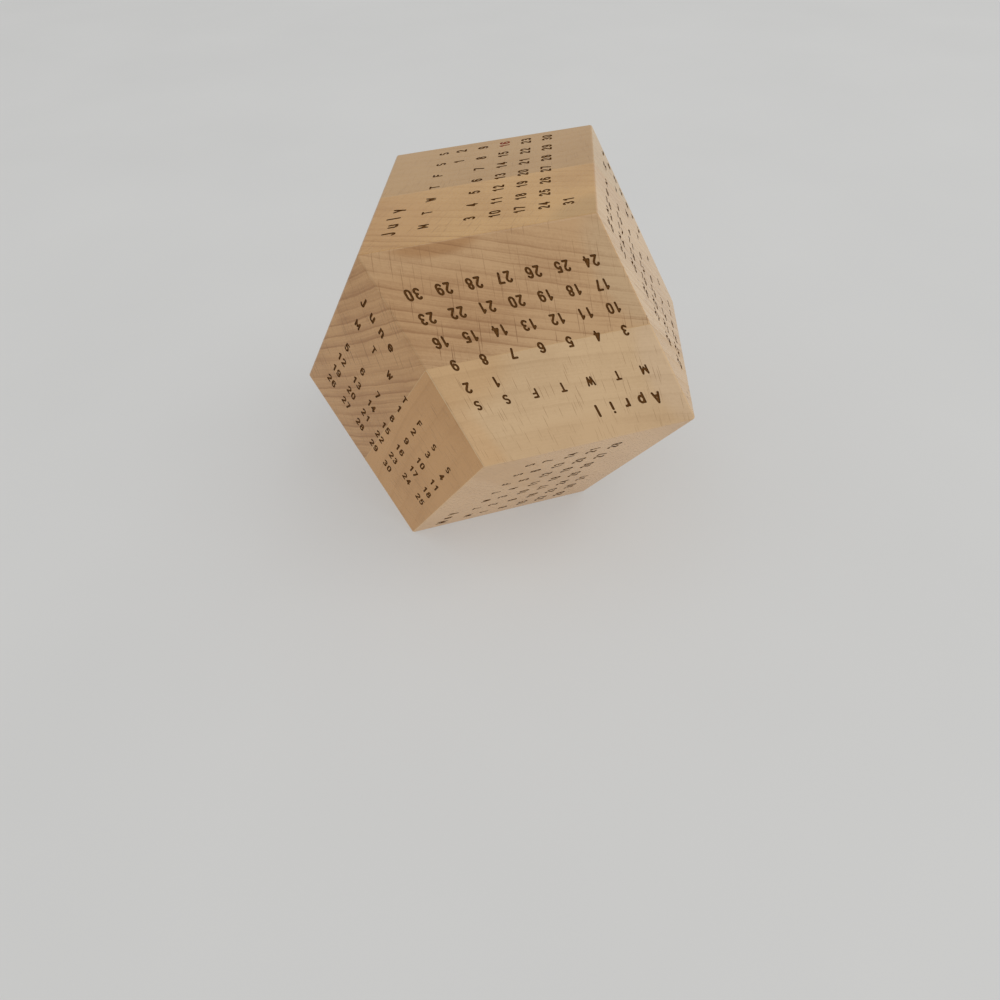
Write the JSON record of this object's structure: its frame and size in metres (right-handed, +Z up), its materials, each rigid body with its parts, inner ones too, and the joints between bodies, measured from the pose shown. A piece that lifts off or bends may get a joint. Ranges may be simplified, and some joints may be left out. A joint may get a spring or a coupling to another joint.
{
  "type": "desk calendar",
  "caption": "Solid laminated wooden desk calendar block with equal rhombic faces, each marked with a month, that stands on any face and is turned by hand as the year goes on.",
  "frame": {"origin": "middle of the face that the block stands on, which is also the bottom centre of its bounding box", "axes": "+Z up through the top face, -Y out of the upright front face, +X towards the sharp corner on the right, along the longest extent"},
  "size_m": [0.1128, 0.08, 0.08],
  "materials": {
    "upper_beech": "sanded beech with a thin satin oil finish, pinkish and evenly grained",
    "core_beech": "sanded beech with a thin satin oil finish, browner, with clear growth rings",
    "lower_beech": "sanded beech with a thin satin oil finish, pale and plain",
    "wood_glue": "dried wood glue, a thin brownish line flush with the wood"
  },
  "bodies": {
    "root": {"upper_board": "upper_beech", "upper_glue_film": "wood_glue", "core_board": "core_beech", "lower_glue_film": "wood_glue", "lower_board": "lower_beech"}
  },
  "joints": []
}
